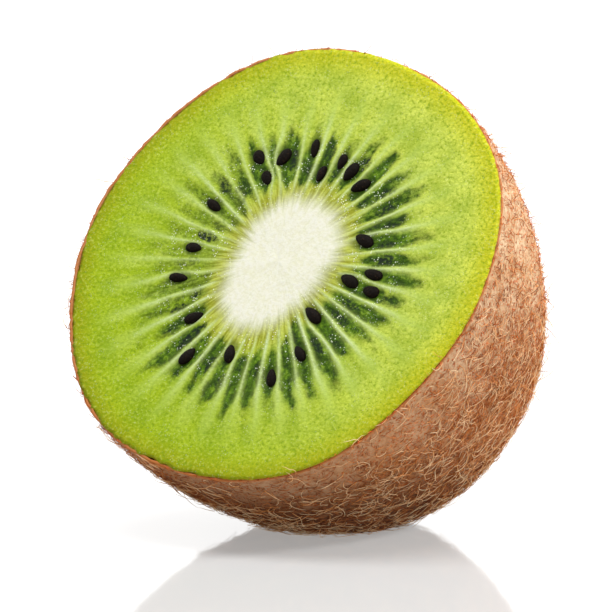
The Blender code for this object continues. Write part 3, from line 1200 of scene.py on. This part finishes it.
def hair_courses(form, places, shortest, longest, segments, lift, curl, seed, rng):
    """Each hair's joints from root to tip, in the frame."""
    bearing, along, dense = places
    number = len(bearing)
    swirl = ring_noise(bearing, along * form.half_length, 11, 6.0 * MM, seed + 2) - 0.5
    heading = 2.0 * math.pi * swirl + math.pi * rng.uniform(-1.0, 1.0, number)
    turn = curl * rng.normal(0.0, 1.0, number)
    length = rng.uniform(shortest * MM, longest * MM, number) * rng.uniform(0.75, 1.15, number)
    length = length * (0.6 + 0.4 * dense)
    rise = lift * rng.uniform(0.5, 1.5, number)
    upright = rng.random(number) < UPRIGHT_SHARE * (1.0 - dense)
    rise = np.where(upright, UPRIGHT_RISE, rise)
    turn = np.where(upright, 0.2 * turn, turn)
    droop = rng.uniform(0.35, 1.0, number)
    kink = rng.normal(0.0, 0.22, (number, segments))

    root = surface_points(form, bearing, along)
    east, south, normal = skin_directions(form, bearing, along)
    spots = [root - normal * (HAIR_ROOT_DEPTH * MM)]
    flat_x, flat_y = np.zeros(number), np.zeros(number)
    stride = length / segments
    for joint in range(1, segments + 1):
        share = joint / segments
        angle = heading + turn * (share - 0.5 / segments) + kink[:, joint - 1]
        flat_x = flat_x + stride * np.cos(angle)
        flat_y = flat_y + stride * np.sin(angle)
        height = length * rise * share * (1.0 - droop * share * 0.75)
        sag = (flat_x ** 2 + flat_y ** 2) / (2.0 * 0.9 * form.section_radius)
        off_skin = (height - sag + 0.03 * MM)[:, None]
        spots.append(root + east * flat_x[:, None] + south * flat_y[:, None] + normal * off_skin)
    laid = np.array(lay_matrix(form))
    spots = np.stack(spots, axis=1) @ laid[:3, :3].T + laid[:3, 3]
    spots[..., 2] = np.maximum(spots[..., 2], HAIR_FLOOR_GAP * MM)
    return spots


def hair_points(spots, thick):
    """Three points round each joint, thinner towards the tip, and the tip's own point."""
    segments = spots.shape[1] - 1
    ahead = unit(np.diff(spots, axis=1, append=spots[:, -1:] + (spots[:, -1:] - spots[:, -2:-1])))
    helper = np.where(np.abs(ahead[..., 2:3]) < 0.9, [[[0.0, 0.0, 1.0]]], [[[1.0, 0.0, 0.0]]])
    side = unit(np.cross(ahead, helper))
    top = np.cross(ahead, side)
    rings = []
    for joint in range(segments):
        width = (thick * (1.0 - 0.55 * joint / segments))[:, None]
        for corner in range(3):
            angle = 2.0 * math.pi * corner / 3.0
            across = math.cos(angle) * side[:, joint] + math.sin(angle) * top[:, joint]
            rings.append(spots[:, joint] + width * across)
    rings.append(spots[:, segments])
    return np.stack(rings, axis=1).reshape(-1, 3)


def hair_faces(number, segments):
    """Four-sided faces along every hair, and the three-sided ones at its root and its tip."""
    quads = []
    for low in range(0, 3 * (segments - 1), 3):
        for corner in range(3):
            after = (corner + 1) % 3
            quads.append((low + corner, low + after, low + 3 + after, low + 3 + corner))
    last = 3 * (segments - 1)
    triangles = [(2, 1, 0)]
    triangles += [(last + corner, last + (corner + 1) % 3, last + 3) for corner in range(3)]
    first = (np.arange(number) * (3 * segments + 1))[:, None, None]
    quads = (np.array(quads, dtype=int).reshape(-1, 4)[None] + first).reshape(-1, 4)
    return quads, (np.array(triangles, dtype=int)[None] + first).reshape(-1, 3)


def add_hairs(name, form, count, shortest, longest, radius, segments, lift, curl, bushy, seed):
    """One piece of tapered three-sided hairs, with the marks that their material reads."""
    rng = np.random.default_rng(seed)
    places = hair_places(form, count, bushy, seed, rng)
    spots = hair_courses(form, places, shortest, longest, segments, lift, curl, seed, rng)
    number = len(spots)
    points = hair_points(spots, radius * MM * rng.uniform(0.75, 1.3, number))
    piece = mesh_piece(name, points, *hair_faces(number, segments))
    per_hair = 3 * segments + 1
    reach = [joint // 3 / segments for joint in range(3 * segments)] + [1.0]
    # Painted shade near the floor: how low each hair's root sits
    low = 1.0 - smooth_step(0.0, 13.0 * MM, spots[:, 0, 2])
    write_attribute(piece, "along", np.tile(reach, number))
    write_attribute(piece, "tone", np.repeat(rng.random(number), per_hair))
    write_attribute(piece, "low", np.repeat(low, per_hair))
    return piece


class KIWI_OT_add_fuzz(bpy.types.Operator):
    """Add the hairs of the skin, one piece for each kind"""
    bl_idname = "kiwi.add_fuzz"
    bl_label = "Add Fuzz"
    bl_options = {"REGISTER", "UNDO"}

    def execute(self, context):
        form = context.scene.kiwi_form
        fuzz = context.scene.kiwi_fuzz
        for kind, root, tip, floor_shade_share, *growth in FUZZ_KINDS:
            tones = (getattr(fuzz, root), getattr(fuzz, tip), fuzz.floor_shade_color)
            material = fuzz_material(f"kiwi_fuzz_{kind}", *tones, floor_shade_share)
            count = getattr(fuzz, f"{kind}_count")
            piece = add_hairs(f"fuzz_{kind}", form, count, *growth)
            finish_piece(piece, material)
        return {"FINISHED"}


# ---------------------------------------------------------------- stage


WHITE = (1.0, 1.0, 1.0)

# Name, place in metres, size in metres and the setting that holds the power
LAMPS = (
    ("top_light", (0.05, -0.15, 1.0), 0.8, "top_power"),
    ("side_light", (0.87, 0.42, 0.60), 0.25, "side_power"),
    ("low_light", (0.66, -0.20, 0.12), 0.35, "low_power"),
)


class KIWI_OT_add_stage(bpy.types.Operator):
    """Add the pale floor, the soft lights and the camera"""
    bl_idname = "kiwi.add_stage"
    bl_label = "Add Stage"
    bl_options = {"REGISTER", "UNDO"}

    def execute(self, context):
        stage = context.scene.kiwi_stage
        self.add_floor(stage)
        self.add_lights(context.scene, stage)
        self.add_camera(context.scene, stage)
        context.scene.view_settings.view_transform = "Standard"
        return {"FINISHED"}

    @staticmethod
    def add_floor(stage):
        start_clean()
        bpy.ops.mesh.primitive_plane_add(size=stage.floor_size, location=(0.0, 0.0, 0.0))
        floor = bpy.context.object
        floor.name = "studio_floor"
        material, tree, shader = new_material("studio_floor")
        dust = noise(tree, object_coordinates(tree), 40.0, 2.0, 0.5)
        feed_inputs(tree, shader, {
            "Base Color": blend(tree, spread(tree, dust, 0.3, 0.7, 0.0, 0.03), stage.floor_color,
                                stage.dust_color),
            "Roughness": 0.6,
            "Specular IOR Level": 0.0,
            "Coat Weight": 1.0,
            "Coat Roughness": 0.06,
            "Coat IOR": 1.12,
            "Emission Color": (1.0, 1.0, 0.99),
            "Emission Strength": stage.floor_glow,
        })
        arrange_nodes(tree)
        floor.data.materials.append(material)

    @staticmethod
    def add_lights(scene, stage):
        world = bpy.data.worlds.new("studio_room")
        world.use_nodes = True
        tree = world.node_tree
        soft = tree.nodes["Background"]
        feed_inputs(tree, soft, {"Color": WHITE, "Strength": stage.room_light})
        bright = add_node(tree, "ShaderNodeBackground", {"Color": WHITE, "Strength": stage.room_white})
        path = add_node(tree, "ShaderNodeLightPath").outputs
        seen = calc(tree, "MAXIMUM", path["Is Camera Ray"], path["Is Glossy Ray"])
        mix = add_node(tree, "ShaderNodeMixShader", {0: seen, 1: soft.outputs[0], 2: bright.outputs[0]})
        feed(tree, tree.nodes["World Output"].inputs["Surface"], mix.outputs[0])
        arrange_nodes(tree)
        scene.world = world
        aim = Vector((0.0, 0.0, 0.024))
        for name, place, size, power in LAMPS:
            data = bpy.data.lights.new(name, "AREA")
            data.shape = "DISK"
            data.size = size
            data.energy = getattr(stage, power)
            lamp = bpy.data.objects.new(name, data)
            lamp.location = place
            lamp.rotation_euler = (aim - Vector(place)).to_track_quat("-Z", "Y").to_euler()
            scene.collection.objects.link(lamp)

    @staticmethod
    def add_camera(scene, stage):
        data = bpy.data.cameras.new("camera")
        camera = bpy.data.objects.new("camera", data)
        scene.collection.objects.link(camera)
        azimuth, elevation = stage.camera_azimuth, stage.camera_elevation
        back = Vector((math.sin(azimuth) * math.cos(elevation),
                       -math.cos(azimuth) * math.cos(elevation), math.sin(elevation)))
        camera.location = Vector(stage.camera_aim) + back * stage.camera_distance
        camera.rotation_euler = (-back).to_track_quat("-Z", "Y").to_euler()
        data.sensor_width = 36.0
        data.lens = data.sensor_width * stage.camera_distance / stage.camera_view_width
        data.clip_start = 0.01
        data.clip_end = 50.0
        scene.camera = camera


# ---------------------------------------------------------------- panel and running


SETTING_GROUPS = (
    ("kiwi_form", KiwiFormSettings),
    ("kiwi_flesh", KiwiFleshSettings),
    ("kiwi_seed", KiwiSeedSettings),
    ("kiwi_skin", KiwiSkinSettings),
    ("kiwi_fuzz", KiwiFuzzSettings),
    ("kiwi_stage", KiwiStageSettings),
)

STEPS = (
    KIWI_OT_add_flesh,
    KIWI_OT_add_seeds,
    KIWI_OT_add_skin,
    KIWI_OT_add_stalk_scar,
    KIWI_OT_add_fuzz,
    KIWI_OT_add_stage,
)


class KIWI_PT_builder(bpy.types.Panel):
    """Sizes, colours and steps of the kiwi half"""
    bl_idname = "KIWI_PT_builder"
    bl_label = "Kiwi Fruit Half"
    bl_space_type = "VIEW_3D"
    bl_region_type = "UI"
    bl_category = "Kiwi"

    def draw(self, context):
        for name, group in SETTING_GROUPS:
            box = self.layout.box()
            box.label(text=group.__name__)
            for key in group.__annotations__:
                box.prop(getattr(context.scene, name), key)
        for step in STEPS:
            self.layout.operator(step.bl_idname)


def register():
    for name, group in SETTING_GROUPS:
        bpy.utils.register_class(group)
        setattr(bpy.types.Scene, name, PointerProperty(type=group))
    for step in STEPS:
        bpy.utils.register_class(step)
    bpy.utils.register_class(KIWI_PT_builder)


def unregister():
    bpy.utils.unregister_class(KIWI_PT_builder)
    for step in reversed(STEPS):
        bpy.utils.unregister_class(step)
    for name, group in reversed(SETTING_GROUPS):
        delattr(bpy.types.Scene, name)
        bpy.utils.unregister_class(group)


def main():
    register()
    bpy.ops.kiwi.add_flesh()
    bpy.ops.kiwi.add_seeds()
    bpy.ops.kiwi.add_skin()
    bpy.ops.kiwi.add_stalk_scar()
    bpy.ops.kiwi.add_fuzz()
    bpy.ops.kiwi.add_stage()


if __name__ == "__main__":
    main()
